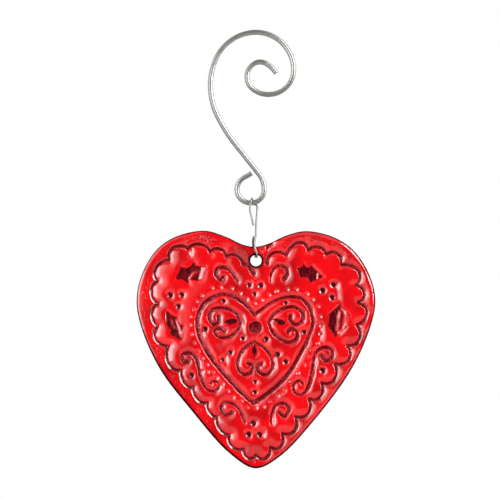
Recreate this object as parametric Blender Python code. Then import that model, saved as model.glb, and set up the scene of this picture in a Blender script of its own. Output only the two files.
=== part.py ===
"""Glass heart ornament: a pressed red glass heart, hung by a thin wire link from a scrolled wire hook.

It hangs as it does in use: the heart's face looks along -Y, and the origin is where the hook's big
arc rests on the branch that carries it. Lengths are in metres.
"""

import math

import bmesh
import bpy
from mathutils import Matrix, Vector

for leftover in list(bpy.data.objects):
    bpy.data.objects.remove(leftover, do_unlink=True)

# Sizes of the glass heart
HEART_WIDTH = 0.0824
HEART_HEIGHT = 0.0820
HEART_THICKNESS = 0.0042
FRONT_EDGE_ROUND = 0.0013
BACK_EDGE_ROUND = 0.0008
HOLE_DIAMETER = 0.0039
HOLE_CHAMFER = 0.0005
HOLE_BELOW_NOTCH = 0.0048

# Sizes of the sunk relief
SCALLOP_GROOVE_WIDTH = 0.0009
HEART_GROOVE_WIDTH = 0.0012
SCROLL_GROOVE_WIDTH = 0.0011
GROOVE_DEPTH = 0.0006
LEAF_DEPTH = 0.0006
PIT_DEPTH = 0.0007
DIMPLE_WIDTH = 0.0011
DIMPLE_DEPTH = 0.0003

# How much smaller a sunk shape's floor is than its rim
LEAF_FLOOR_SHARE = 0.92
PIT_FLOOR_SHARE = 0.75
DIMPLE_FLOOR_SHARE = 0.3

# Sizes of the hook wire, from the tip of its curl to the cut end of its lower loop
HOOK_WIRE_DIAMETER = 0.0018
CURL_TIP_HEADING = 121.0
UPPER_BENDS = [
    (0.0095, 30.0),
    (0.0043, 85.0),
    (0.0056, 88.0),
    (0.0087, 129.0),
    (0.0130, 87.0),
    (0.0152, 69.0),
    (0.0240, 47.5),
    (0.0560, 12.0),
]
SHANK_LENGTH = 0.0127
LOWER_BENDS = [
    (0.0087, -38.0),
    (0.0047, -90.5),
    (0.0047, -153.5),
    (0.0180, 9.0),
]

# Sizes of the link wire
LINK_WIRE_DIAMETER = 0.0007
LINK_DROP = 0.01865
LINK_FREE_END = 0.0078
LINK_CLOSE_ABOVE_NOTCH = 0.0034

# Waves of the link wire: the share of each stretch and how far right of the middle the wire is.
# Behind the glass a third value tells how far out it stands, as a share of its way past the glass.
FREE_END_WAVES = [(1.0, -0.0009), (0.6, -0.0016), (0.3, -0.0021)]
OVER_HOOK_SLANT = 0.0008
STRAND_WAVES = [
    (0.05, 0.0003), (0.15, 0.0004), (0.34, 0.0001), (0.60, 0.0), (0.70, -0.0004),
    (0.79, -0.0002), (0.88, 0.0003),
]
BACK_WAVES = [
    (0.30, -0.0007, 1.0), (0.45, -0.0009, 1.0), (0.62, -0.0010, 0.98), (0.80, -0.0010, 0.85),
    (0.93, -0.0009, 0.5), (1.0, -0.0009, 0.15),
]

# The link's bend in the hole: the share of its way past the glass, and its rise in hole chamfers
EYE_BEND = [(0.5, 0.0), (0.76, 0.2), (0.93, 1.3), (1.0, 2.6)]
EYE_SLANT = 0.0003

# Clearances
RUNNING_GAP = 0.0003

# Fineness of the curved shapes
BEND_STEP = math.radians(9.0)
LONGEST_STEP = 0.003
OUTLINE_STEPS = 5
GROOVE_STEPS = 3
SCALLOP_STEPS = 6
LINK_STEPS = 5
ROUND_SIDES = 12
GROOVE_SIDES = 6
LINK_SIDES = 8
DIMPLE_SIDES = 6
HOLE_SIDES = 32
FRONT_EDGE_SEGMENTS = 3
BACK_EDGE_SEGMENTS = 2
CREASE_ANGLE = math.radians(35.0)
CUTTER_RISE = 0.001
WELD = 1e-6

# The heart's outline and relief are drawn on a sheet, x to the right and y down.
# These values say where the heart lies on that sheet.
SHEET_MIDLINE = 256.0
SHEET_NOTCH = 246.7
SHEET_WIDTH = 238.6
SHEET_HEIGHT = 237.7

OUTLINE = [
    (255.5, 246.7), (268, 243.8), (287, 235.2), (306, 231.1), (333, 236.9), (353, 250),
    (369, 274), (375.3, 300), (370, 328), (351, 370), (314, 420.5), (280, 456.3),
    (255.5, 468.4), (229.5, 453.2), (192, 411), (160, 369), (141.3, 327), (136.7, 300),
    (142.1, 274), (156.5, 250), (175, 237), (204.5, 230.7), (226, 236.8), (243, 244.6),
]

# Each scallop of the border runs from one cusp, over its crest, to the next cusp.
SCALLOP_CUSPS = [
    (243, 264.8), (226, 256.5), (210, 251.5), (188, 248.5), (168.5, 259.7), (157.3, 281),
    (157.3, 304), (157.8, 326.3), (168.3, 346.3), (180.7, 370.5), (192.5, 387.3),
    (206.7, 403), (216.3, 417), (228.8, 434.7), (242.7, 449.3), (255.8, 455),
    (270.2, 447.3), (282.3, 433.5), (295.3, 416.7), (309, 399.2), (321.7, 383.2),
    (334.7, 364), (347, 345.5), (356.7, 324.8), (357.6, 302.5), (356, 285),
    (341.2, 264.5), (325.8, 254), (308, 250), (285.7, 255.2), (266.8, 263.7),
]
SCALLOP_CRESTS = [
    (236.5, 255.5), (219.5, 248.6), (199.5, 244), (173.8, 247.2), (155.6, 268.2),
    (151, 291.5), (151.6, 314.7), (155.3, 339), (168, 363.5), (183.6, 382.8),
    (197, 399.2), (209.3, 412.5), (219.2, 429), (231.2, 446), (248, 458.3),
    (265.3, 458.7), (280.3, 446.8), (294.3, 430.8), (308.2, 413.5), (320.5, 396.5),
    (334.7, 379), (349, 359.5), (359.3, 339.7), (367, 313.5), (364.3, 293.8),
    (358.3, 270.7), (337, 253.5), (318.3, 246.8), (298, 242.5), (273, 252.6),
]
SCALLOP_TAIL = [(243, 264.8), (247.5, 264.8), (251, 269), (254.7, 274)]
SCALLOP_ROUNDNESS = 0.4

INNER_HEART_LEFT = [
    (254.3, 315), (247, 306.5), (237, 298.5), (225, 294.3), (213, 297), (203.5, 304.5),
    (197.8, 316), (197.3, 328), (201.5, 341.5), (211, 358), (226, 376.5), (243, 394.5),
    (253, 403.3),
]
INNER_HEART_RIGHT = [
    (254.3, 315), (264.5, 307), (276, 300), (288.5, 296.8), (301.5, 298.8), (309.5, 309),
    (312.6, 322), (309.5, 334.5), (300, 354), (288, 373.5), (272.5, 389.5), (253, 403.3),
]

# Three little scroll hearts, two branches each
SCROLL_HEARTS = [
    [(240.5, 322), (236, 313.5), (225.5, 308.3), (214, 308.8), (208.9, 316.5), (212.5, 324),
     (218, 323.3), (218.3, 317)],
    [(240.5, 322), (238, 330), (229, 336.8), (219.5, 337.3), (214.8, 331.5), (219, 328),
     (224.2, 331.5)],
    [(268.5, 322.5), (273.5, 314.5), (283, 308.5), (293, 307), (301.5, 312), (302, 320),
     (296, 324.5), (290, 320.5), (290.3, 315.7)],
    [(268.5, 322.5), (272, 331.5), (279.5, 339), (289, 342.3), (296.5, 338.5), (296.3, 331.5),
     (290.5, 328.8), (287.5, 332.7)],
    [(254.5, 341.7), (245.5, 347), (239, 356.5), (237.7, 367.5), (243.5, 374.2), (251, 372.3),
     (252, 365.8), (248, 363.6)],
    [(254.5, 341.7), (263.5, 347.7), (270.5, 356.5), (272.3, 367), (266, 374.7), (258.3, 371.8),
     (258, 365.5), (261.2, 363.6)],
]

# Six loose scrolls: upper pair, left and right S, lower pair
SCROLLS = [
    [(237.3, 282), (233, 275), (226.5, 268), (218.5, 268), (215.8, 274.5), (220.5, 279.7),
     (223.7, 277.3)],
    [(270, 281.5), (271.3, 273), (277, 266), (284.5, 267.5), (287, 274.5), (283, 279.3)],
    [(188.5, 361.5), (183, 361.5), (183, 354.8), (190, 353), (196, 358.5), (198.8, 369),
     (201.5, 380.5), (207.5, 389.7), (215.5, 391), (219, 384), (213.5, 381), (210.5, 383.5)],
    [(321.3, 355.8), (325, 360.8), (331.5, 357.5), (331, 349.8), (323, 347.3), (315.5, 353),
     (313, 363), (311, 375), (308, 386.5), (302, 394.7), (294.5, 392.3), (293.5, 384.5),
     (299, 380.5), (302.5, 383.8)],
    [(232, 412.5), (225.5, 415), (220.8, 408), (225, 402.3), (233.5, 404), (240, 411.5),
     (244.5, 422.7)],
    [(279.3, 412.8), (284, 416.3), (289, 409.5), (284.5, 403.7), (276.5, 404.5), (271.7, 414),
     (270.9, 424)],
]

# The leaf in each little heart, and the four holly leaves of the border
LEAVES = [
    [(225.3, 323.6), (227.5, 320.6), (232, 319.2), (236.5, 320), (238, 322), (232, 324)],
    [(272, 319.6), (277, 319.2), (283, 320.4), (286, 322), (282, 324.6), (276, 323.6)],
    [(254.7, 343), (256.2, 347.5), (257, 352), (254.5, 357.2), (252.3, 352), (253, 347)],
    [(205.3, 266.8), (197, 265.3), (193.7, 261.6), (190.5, 266.8), (185, 268.2), (180.5, 266.7),
     (180, 271), (175.3, 279.6), (184, 280.6), (188.8, 283.6), (190.5, 279), (197.5, 280.2),
     (199.5, 274)],
    [(296.5, 268.5), (301.5, 266), (303.7, 263), (306, 266.4), (310, 267.5), (312.7, 264.6),
     (315.5, 269.5), (324, 276.5), (314.5, 280.3), (309.7, 283), (306.5, 278.3), (300, 277.4),
     (297.8, 273)],
    [(166.8, 311.2), (172, 315), (178, 315.8), (178, 321.5), (184.8, 326.5), (182.3, 331.5),
     (183, 339.3), (179.5, 339.8), (170.2, 335.3), (171, 329.5), (165.8, 325.3), (167.5, 319)],
    [(341, 303), (342.5, 307.5), (348.3, 312), (346, 317), (348.6, 324.5), (341, 330.5),
     (335.4, 337.5), (331.5, 330.5), (326.6, 325.8), (329, 320), (327.8, 313.3), (336, 310)],
]

# Round pits: centre x, centre y, radius on the sheet
PITS = [
    (255.2, 327.7, 6.7),
    (223.2, 301, 2.5), (285.2, 303.2, 2.4), (204.7, 329, 3.0), (303.7, 332.3, 2.8),
    (242.3, 338.5, 2.3), (265.7, 339, 2.9), (230, 352.5, 2.4), (222.3, 360, 2.3),
    (277.2, 354.5, 2.8), (285.2, 362, 2.9), (254.6, 381.8, 2.3), (254.4, 392.3, 2.5),
    (248.7, 285.2, 2.7), (260.2, 285.5, 3.1), (254, 294, 2.3),
    (169.7, 295.2, 3.1), (181.3, 295, 2.9), (178, 306.5, 2.8),
    (333, 284.8, 2.9), (322, 290.7, 3.2), (331.5, 297.6, 2.9),
    (252.8, 423.3, 3.2), (248.2, 434.5, 3.2), (259.2, 434.7, 3.2),
    (191.3, 375.3, 2.8), (322, 370.7, 3.2),
]

# Small shallow dimples in a row outside the inner heart
DIMPLES = [
    (202.3, 295.5), (212.3, 288), (221, 287.5), (232, 288.5), (240.5, 293.3), (247.3, 299),
    (255, 303.5), (262, 300), (269.3, 295), (277, 291), (287.5, 289.5), (296.5, 289.5),
    (307, 293.7), (312.7, 299.5), (318.3, 306.5), (320.3, 316.7), (321.5, 325.5),
    (320.7, 333.5), (318, 343.5), (312, 350), (308.5, 357), (304.5, 365), (298, 372.7),
    (291, 381), (284, 390), (277.5, 396), (270.3, 401.5), (264, 406.5), (256.5, 408),
    (247.7, 407.5), (242, 401), (233.5, 397), (228.5, 391), (223, 383.7), (217.3, 377.3),
    (209.3, 371.7), (206.5, 364.5), (202.7, 358.3), (199, 351), (195, 343), (192.3, 334.3),
    (190.3, 325), (190.5, 316.5), (194.3, 309.3), (197, 301.7),
]


def material(name, colour, roughness, metallic):
    """One Principled finish."""
    finish = bpy.data.materials.new(name)
    finish.use_nodes = True
    shader = finish.node_tree.nodes["Principled BSDF"]
    shader.inputs["Base Color"].default_value = (*colour, 1.0)
    shader.inputs["Roughness"].default_value = roughness
    shader.inputs["Metallic"].default_value = metallic
    return finish


def object_from(name, mesh, place, finish):
    """A named object that holds one mesh, shaded smooth up to its creases."""
    piece = bpy.data.objects.new(name, mesh)
    bpy.context.scene.collection.objects.link(piece)
    piece.location = place
    mesh.materials.clear()
    mesh.materials.append(finish)
    mesh.shade_smooth()
    mesh.set_sharp_from_angle(angle=CREASE_ANGLE)
    return piece


def tube_mesh(lines, radius, sides, flat=False):
    """A mesh of closed round tubes of one radius, one along each line of points."""
    curve = bpy.data.curves.new("tube", "CURVE")
    curve.dimensions = "2D" if flat else "3D"
    curve.fill_mode = "NONE" if flat else "FULL"
    curve.bevel_depth = radius
    curve.bevel_resolution = (sides - 4) // 2
    curve.use_fill_caps = True
    for points in lines:
        spline = curve.splines.new("POLY")
        spline.points.add(len(points) - 1)
        for at, point in zip(spline.points, points):
            at.co = (*point, 1.0)
    holder = bpy.data.objects.new("tube", curve)
    bpy.context.scene.collection.objects.link(holder)
    bpy.context.view_layer.update()
    evaluated = holder.evaluated_get(bpy.context.evaluated_depsgraph_get())
    mesh = bpy.data.meshes.new_from_object(evaluated)
    bpy.data.objects.remove(holder, do_unlink=True)
    bm = bmesh.new()
    bm.from_mesh(mesh)
    bmesh.ops.remove_doubles(bm, verts=bm.verts, dist=WELD)
    bmesh.ops.recalc_face_normals(bm, faces=bm.faces)
    bm.to_mesh(mesh)
    bm.free()
    return mesh


def smooth_line(points, steps, closed=False):
    """Points of a smooth curve through the given points, as many steps from each to the next."""
    given = [Vector(point) for point in points]
    if closed:
        given = [given[-1], *given, given[0], given[1]]
    else:
        given = [2 * given[0] - given[1], *given, 2 * given[-1] - given[-2]]
    line = []
    for before, start, end, after in zip(given, given[1:], given[2:], given[3:]):
        t1 = math.sqrt((start - before).length)
        t2 = t1 + math.sqrt((end - start).length)
        t3 = t2 + math.sqrt((after - end).length)
        for step in range(steps):
            t = t1 + (t2 - t1) * step / steps
            a = before.lerp(start, t / t1)
            b = start.lerp(end, (t - t1) / (t2 - t1))
            c = end.lerp(after, (t - t2) / (t3 - t2))
            inner = a.lerp(b, t / t2)
            outer = b.lerp(c, (t - t1) / (t3 - t1))
            line.append(inner.lerp(outer, (t - t1) / (t2 - t1)))
    if not closed:
        line.append(given[-2])
    return line


def scallop(start, crest, end):
    """The bulging line of one scallop, a cubic curve that passes its crest half way."""
    start, crest, end = Vector(start), Vector(crest), Vector(end)
    rise = (crest - (start + end) / 2) * 4 / 3
    lead = (end - start) * SCALLOP_ROUNDNESS / 2
    handles = (start, start + lead + rise, end - lead + rise, end)
    line = []
    for step in range(SCALLOP_STEPS + 1):
        t = step / SCALLOP_STEPS
        shares = ((1 - t) ** 3, 3 * t * (1 - t) ** 2, 3 * t * t * (1 - t), t ** 3)
        line.append(sum((share * handle for share, handle in zip(shares, handles)), Vector((0, 0))))
    return line


def bent_wire(start, heading, bends):
    """Points along a wire bent in one plane: each bend is a radius and a signed turn in degrees."""
    x, z = start
    points = [(x, z)]
    for radius, turn in bends:
        sweep = math.radians(turn)
        side = math.copysign(1.0, sweep)
        steps = max(1, round(abs(sweep) / BEND_STEP), round(abs(sweep) * radius / LONGEST_STEP))
        centre_x = x - side * radius * math.sin(heading)
        centre_z = z + side * radius * math.cos(heading)
        for step in range(1, steps + 1):
            angle = heading + sweep * step / steps
            x = centre_x + side * radius * math.sin(angle)
            z = centre_z - side * radius * math.cos(angle)
            points.append((x, z))
        heading += sweep
    return points, heading


def on_glass(point):
    """A point of the sheet on the heart, measured from its pivot: x to the right and y up."""
    x = (point[0] - SHEET_MIDLINE) * HEART_WIDTH / SHEET_WIDTH
    y = notch_y - (point[1] - SHEET_NOTCH) * HEART_HEIGHT / SHEET_HEIGHT
    return Vector((x, y))


def plate(bm, outline, low, high):
    """Adds a closed plate between two heights and gives the corners of its low side."""
    low_verts = [bm.verts.new((*point, low)) for point in outline]
    face = bm.faces.new(low_verts)
    raised = bmesh.ops.extrude_face_region(bm, geom=[face], use_keep_orig=True)
    high_verts = [item for item in raised["geom"] if isinstance(item, bmesh.types.BMVert)]
    bmesh.ops.translate(bm, vec=(0.0, 0.0, high - low), verts=high_verts)
    bmesh.ops.recalc_face_normals(bm, faces=bm.faces)
    return low_verts


def round_rim(bm, height, radius, segments):
    """Rounds the edges all round a plate's flat side at one height."""
    rim = [edge for edge in bm.edges if all(abs(v.co.z - height) < WELD for v in edge.verts)]
    bmesh.ops.bevel(
        bm, geom=rim, offset=radius, offset_type="OFFSET", segments=segments, profile=0.5,
        affect="EDGES", material=-1
    )


def cut_grooves(bm, lines, width):
    """Adds cutters for grooves of one width along lines of the sheet."""
    routes = [[(*on_glass(point), 0.0) for point in line] for line in lines]
    mesh = tube_mesh(routes, width / 2, GROOVE_SIDES, flat=True)
    lowest = min(vert.co.z for vert in mesh.vertices)
    mesh.transform(Matrix.Scale(-GROOVE_DEPTH / lowest, 4, (0.0, 0.0, 1.0)))
    mesh.transform(Matrix.Translation((0.0, 0.0, front)))
    bm.from_mesh(mesh)


def cut_pit(bm, centre, radius, depth, floor_share, sides):
    """Adds a cutter for one round pit, whose walls lean in towards its floor."""
    middle = (*on_glass(centre), front + (CUTTER_RISE - depth) / 2)
    bmesh.ops.create_cone(
        bm, cap_ends=True, segments=sides, radius1=radius * floor_share,
        radius2=radius * (1 + (1 - floor_share) * CUTTER_RISE / depth), depth=depth + CUTTER_RISE,
        matrix=Matrix.Translation(middle)
    )


def cut_leaf(bm, outline):
    """Adds a cutter for one sunk leaf, whose walls lean in towards its floor."""
    corners = [on_glass(point) for point in outline]
    middle = sum(corners, Vector((0.0, 0.0))) / len(corners)
    for corner in plate(bm, corners, front - LEAF_DEPTH, front + CUTTER_RISE):
        corner.co.xy = middle + (corner.co.xy - middle) * LEAF_FLOOR_SHARE


def stood_up(name, bm):
    """A piece of the heart that was drawn lying flat, stood upright at the pivot."""
    mesh = bpy.data.meshes.new(name)
    bm.to_mesh(mesh)
    bm.free()
    piece = object_from(name, mesh, pivot, red_glass)
    piece.rotation_euler = (math.radians(90.0), 0.0, 0.0)
    return piece


def cut_from(piece, name, bm, overlaps):
    """Cuts a cutter's shape out of a piece of the heart."""
    cutter = stood_up(name, bm)
    cutter.hide_render = True
    cutter.display_type = "WIRE"
    cut = piece.modifiers.new(name, "BOOLEAN")
    cut.operation = "DIFFERENCE"
    cut.solver = "EXACT"
    cut.use_self = overlaps
    cut.object = cutter


# Finishes
red_glass = material("red_glass", (0.78, 0.008, 0.012), 0.12, 0.0)
hook_steel = material("hook_steel", (0.60, 0.60, 0.57), 0.30, 1.0)
link_steel = material("link_steel", (0.55, 0.56, 0.53), 0.35, 1.0)

# Scroll hook: its big arc rests on the branch at the origin
hook_radius = HOOK_WIRE_DIAMETER / 2
upper, shank_heading = bent_wire((0.0, 0.0), math.radians(CURL_TIP_HEADING), UPPER_BENDS)
shank_x = upper[-1][0] + SHANK_LENGTH * math.cos(shank_heading)
shank_z = upper[-1][1] + SHANK_LENGTH * math.sin(shank_heading)
lower, end_heading = bent_wire((shank_x, shank_z), shank_heading, LOWER_BENDS)
hook_line = upper + lower
top_x, top_z = max(hook_line, key=lambda point: point[1])
hook_line = [(x - top_x, z - top_z + hook_radius) for x, z in hook_line]
loop_x, loop_z = min(hook_line, key=lambda point: point[1])
hook_route = [(x, 0.0, z) for x, z in hook_line]
object_from("scroll_hook", tube_mesh([hook_route], hook_radius, ROUND_SIDES), (0, 0, 0), hook_steel)

# Where things hang: the link turns about the wire of the hook's lower loop, and the heart turns
# about the link's bend, which carries the top of its drilled hole.
link_radius = LINK_WIRE_DIAMETER / 2
swing = Vector((loop_x, 0.0, loop_z))
pivot = Vector((0.0, 0.0, loop_z - LINK_DROP))
hole_radius = HOLE_DIAMETER / 2
hole_y = link_radius + RUNNING_GAP - hole_radius
notch_y = hole_y + HOLE_BELOW_NOTCH
front = HEART_THICKNESS / 2

# Wire link: from its free end, over the hook's wire, down to the front of the glass, through the
# hole and up behind the glass to its closed end
past_hook = hook_radius + link_radius + RUNNING_GAP
past_glass = front + link_radius + RUNNING_GAP
back_rise = notch_y + LINK_CLOSE_ABOVE_NOTCH
strand_starts = STRAND_WAVES[0][0]
strand_crossed = 1.0 - notch_y / LINK_DROP
link_route = []
for share, x in FREE_END_WAVES:
    link_route.append((x, -past_hook, loop_z - share * LINK_FREE_END))
for angle in (0.0, math.pi / 4, math.pi / 2, math.pi * 3 / 4, math.pi):
    x = loop_x + OVER_HOOK_SLANT * angle / math.pi
    link_route.append((x, -past_hook * math.cos(angle), loop_z + past_hook * math.sin(angle)))
for share, x in STRAND_WAVES:
    crossed = min(1.0, (share - strand_starts) / (strand_crossed - strand_starts))
    y = past_hook - (past_hook + past_glass) * crossed
    link_route.append((x, y, loop_z - share * LINK_DROP))
for out, rise in reversed(EYE_BEND):
    link_route.append((EYE_SLANT * out, -out * past_glass, pivot.z + rise * HOLE_CHAMFER))
for out, rise in EYE_BEND:
    link_route.append((-EYE_SLANT * out, out * past_glass, pivot.z + rise * HOLE_CHAMFER))
for share, x, out in BACK_WAVES:
    link_route.append((x, out * past_glass, pivot.z + share * back_rise))
link_mesh = tube_mesh([smooth_line(link_route, LINK_STEPS)], link_radius, LINK_SIDES)
link_mesh.transform(Matrix.Translation(-swing))
object_from("wire_link", link_mesh, swing, link_steel)

# Glass heart: a plate with rounded edges
heart_plate = bmesh.new()
edge_line = smooth_line(OUTLINE, OUTLINE_STEPS, closed=True)
plate(heart_plate, [on_glass(point) for point in edge_line], -front, front)
round_rim(heart_plate, front, FRONT_EDGE_ROUND, FRONT_EDGE_SEGMENTS)
round_rim(heart_plate, -front, BACK_EDGE_ROUND, BACK_EDGE_SEGMENTS)
glass_heart = stood_up("glass_heart", heart_plate)

# Its relief: the scalloped border, the inner heart, the scrolls, the leaves, the pits and dimples
relief = bmesh.new()
scallops = [SCALLOP_TAIL]
for start, crest, end in zip(SCALLOP_CUSPS, SCALLOP_CRESTS, SCALLOP_CUSPS[1:]):
    scallops.append(scallop(start, crest, end))
cut_grooves(relief, scallops, SCALLOP_GROOVE_WIDTH)
inner_heart = [smooth_line(side, GROOVE_STEPS) for side in (INNER_HEART_LEFT, INNER_HEART_RIGHT)]
cut_grooves(relief, inner_heart, HEART_GROOVE_WIDTH)
scroll_lines = [smooth_line(scroll, GROOVE_STEPS) for scroll in SCROLL_HEARTS + SCROLLS]
cut_grooves(relief, scroll_lines, SCROLL_GROOVE_WIDTH)
for leaf in LEAVES:
    cut_leaf(relief, leaf)
for x, y, sheet_radius in PITS:
    pit_radius = sheet_radius * HEART_WIDTH / SHEET_WIDTH
    cut_pit(relief, (x, y), pit_radius, PIT_DEPTH, PIT_FLOOR_SHARE, ROUND_SIDES)
for dimple in DIMPLES:
    cut_pit(relief, dimple, DIMPLE_WIDTH / 2, DIMPLE_DEPTH, DIMPLE_FLOOR_SHARE, DIMPLE_SIDES)
cut_from(glass_heart, "relief_cutter", relief, True)

# Its drilled hole, flared at both faces
flare = hole_radius + HOLE_CHAMFER + CUTTER_RISE
profile = [
    (0.0, -front - CUTTER_RISE), (flare, -front - CUTTER_RISE),
    (hole_radius, -front + HOLE_CHAMFER), (hole_radius, front - HOLE_CHAMFER),
    (flare, front + CUTTER_RISE), (0.0, front + CUTTER_RISE),
]
drill = bmesh.new()
corners = [drill.verts.new((x, 0.0, z)) for x, z in profile]
edges = [drill.edges.new(pair) for pair in zip(corners, corners[1:])]
bmesh.ops.spin(
    drill, geom=corners + edges, cent=(0.0, 0.0, 0.0), axis=(0.0, 0.0, 1.0), angle=math.tau,
    steps=HOLE_SIDES
)
bmesh.ops.remove_doubles(drill, verts=drill.verts, dist=WELD)
bmesh.ops.recalc_face_normals(drill, faces=drill.faces)
bmesh.ops.translate(drill, vec=(0.0, hole_y, 0.0), verts=drill.verts)
cut_from(glass_heart, "hole_cutter", drill, False)
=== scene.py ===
import math

import bmesh
import bpy
import numpy as np
from mathutils import Matrix, Vector, noise


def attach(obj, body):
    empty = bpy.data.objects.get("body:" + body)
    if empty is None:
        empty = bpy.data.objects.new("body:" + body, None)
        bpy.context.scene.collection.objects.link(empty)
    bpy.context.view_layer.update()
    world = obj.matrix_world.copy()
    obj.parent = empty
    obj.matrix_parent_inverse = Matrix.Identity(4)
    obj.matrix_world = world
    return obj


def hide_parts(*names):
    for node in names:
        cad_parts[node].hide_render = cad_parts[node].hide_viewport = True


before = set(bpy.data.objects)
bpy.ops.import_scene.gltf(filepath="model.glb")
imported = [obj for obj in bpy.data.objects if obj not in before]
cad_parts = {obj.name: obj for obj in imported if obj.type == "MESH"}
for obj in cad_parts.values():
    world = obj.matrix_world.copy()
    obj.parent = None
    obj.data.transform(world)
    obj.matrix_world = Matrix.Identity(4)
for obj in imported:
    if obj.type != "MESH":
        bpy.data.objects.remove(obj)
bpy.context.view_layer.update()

# Pressed glass heart, its drawing: a plate of red glass about 4 mm thick, pressed hot into a carved
# mould. The carving is drawn on a sheet, x to the right and y down, one unit to about 0.35 mm, and
# is freehand, so no two scallops, scrolls or dots are quite alike.
HEART_WIDTH = 0.0824
HEART_HEIGHT = 0.0820
NOTCH_Z = -0.073206
SHEET_MIDLINE = 256.0
SHEET_NOTCH = 246.7
SHEET_WIDTH = 238.6
SHEET_HEIGHT = 237.7

OUTLINE = [
    (255.5, 246.7), (268, 243.8), (287, 235.2), (306, 231.1), (333, 236.9), (353, 250),
    (369, 274), (375.3, 300), (370, 328), (351, 370), (314, 420.5), (280, 456.3),
    (255.5, 468.4), (229.5, 453.2), (192, 411), (160, 369), (141.3, 327), (136.7, 300),
    (142.1, 274), (156.5, 250), (175, 237), (204.5, 230.7), (226, 236.8), (243, 244.6),
]

# Each scallop of the border runs from one cusp, over its crest, to the next cusp.
SCALLOP_CUSPS = [
    (243, 264.8), (226, 256.5), (210, 251.5), (188, 248.5), (168.5, 259.7), (157.3, 281),
    (157.3, 304), (157.8, 326.3), (168.3, 346.3), (180.7, 370.5), (192.5, 387.3),
    (206.7, 403), (216.3, 417), (228.8, 434.7), (242.7, 449.3), (255.8, 455),
    (270.2, 447.3), (282.3, 433.5), (295.3, 416.7), (309, 399.2), (321.7, 383.2),
    (334.7, 364), (347, 345.5), (356.7, 324.8), (357.6, 302.5), (356, 285),
    (341.2, 264.5), (325.8, 254), (308, 250), (285.7, 255.2), (266.8, 263.7),
]
SCALLOP_CRESTS = [
    (236.5, 255.5), (219.5, 248.6), (199.5, 244), (173.8, 247.2), (155.6, 268.2),
    (151, 291.5), (151.6, 314.7), (155.3, 339), (168, 363.5), (183.6, 382.8),
    (197, 399.2), (209.3, 412.5), (219.2, 429), (231.2, 446), (248, 458.3),
    (265.3, 458.7), (280.3, 446.8), (294.3, 430.8), (308.2, 413.5), (320.5, 396.5),
    (334.7, 379), (349, 359.5), (359.3, 339.7), (367, 313.5), (364.3, 293.8),
    (358.3, 270.7), (337, 253.5), (318.3, 246.8), (298, 242.5), (273, 252.6),
]
SCALLOP_ROUNDNESS = 0.4
BORDER_HALF_WIDTH = 1.6

# The stroke that ends the border beside the hole, and two for a small chip in the rim by the notch.
# A stroke is its line, and half its width at its start, middle and end.
SCALLOP_TAIL = ([(242.6, 264.8), (246.8, 264.8), (250.2, 269), (253.5, 273.6)], (1.6, 1.9, 2.5))
CHIP = [
    ([(261.0, 249.3), (262.4, 248.6), (263.6, 247.8)], (0.9, 1.2, 0.8)),
    ([(266.6, 249.2), (267.8, 246.4), (270.8, 243.8)], (1.0, 1.3, 1.0)),
]

# The strokes of the inner heart's two sides and of the scrolls
INNER_HEART = [
    ([(254.3, 315), (247, 306.5), (237, 298.5), (225, 294.3), (213, 297), (203.5, 304.5),
      (197.8, 316), (197.3, 328), (201.5, 341.5), (211, 358), (226, 376.5), (243, 394.5),
      (253, 403.3)], (1.6, 2.1, 1.9)),
    ([(254.3, 315), (264.5, 307), (276, 300), (288.5, 296.8), (301.5, 298.8), (309.5, 309),
      (312.6, 322), (309.5, 334.5), (300, 354), (288, 373.5), (272.5, 389.5), (253, 403.3)],
     (1.5, 1.7, 2.2)),
]
SCROLLS = [
    ([(240.5, 322), (236, 313.5), (225.5, 308.3), (214, 308.8), (208.9, 316.5),
      (212.5, 324), (218, 323.3), (218.3, 317)], (1.5, 1.6, 2.0)),
    ([(240.5, 322), (238, 330), (229, 336.8), (219.5, 337.3), (214.8, 331.5), (219, 328),
      (224.2, 331.5)], (1.5, 1.6, 1.8)),
    ([(268.5, 322.5), (273.5, 314.5), (283, 308.5), (293, 307), (301.5, 312), (302, 320),
      (296, 324.5), (290, 320.5), (290.3, 315.7)], (1.5, 1.7, 1.8)),
    ([(268.5, 322.5), (272, 331.5), (279.5, 339), (289, 342.3), (296.5, 338.5),
      (296.3, 331.5), (290.5, 328.8), (287.5, 332.7)], (1.5, 1.7, 1.8)),
    ([(254.5, 341.7), (245.5, 347), (239, 356.5), (237.7, 367.5), (243.5, 374.2),
      (251, 372.3), (252, 365.8), (248, 363.6)], (1.5, 1.7, 1.9)),
    ([(254.5, 341.7), (263.5, 347.7), (270.5, 356.5), (272.3, 367), (266, 374.7),
      (258.3, 371.8), (258, 365.5), (261.2, 363.6)], (1.5, 1.5, 1.8)),
    ([(237.3, 282), (233, 275), (226.5, 268), (218.5, 268), (215.8, 274.5), (220.5, 279.7),
      (223.7, 277.3)], (1.0, 1.8, 2.0)),
    ([(270, 281.5), (271.3, 273), (277, 266), (284.5, 267.5), (287, 274.5), (283, 279.3)],
     (0.9, 1.6, 2.0)),
    ([(188.5, 361.5), (183, 361.5), (183, 354.8), (190, 353), (196, 358.5), (198.8, 369),
      (201.5, 380.5), (207.5, 389.7), (215.5, 391), (219, 384), (213.5, 381),
      (210.5, 383.5)], (2.0, 1.5, 1.1)),
    ([(321.3, 355.8), (325, 360.8), (331.5, 357.5), (331, 349.8), (323, 347.3),
      (315.5, 353), (313, 363), (311, 375), (308, 386.5), (302, 394.7), (294.5, 392.3),
      (293.5, 384.5), (299, 380.5), (302.5, 383.8)], (2.1, 1.5, 1.4)),
    ([(232, 412.5), (225.5, 415), (220.8, 408), (225, 402.3), (233.5, 404), (240, 411.5),
      (244.5, 422.7)], (2.0, 1.6, 1.1)),
    ([(279.3, 412.8), (284, 416.3), (289, 409.5), (284.5, 403.7), (276.5, 404.5),
      (271.7, 414), (270.9, 424)], (2.1, 1.6, 0.9)),
]

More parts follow.
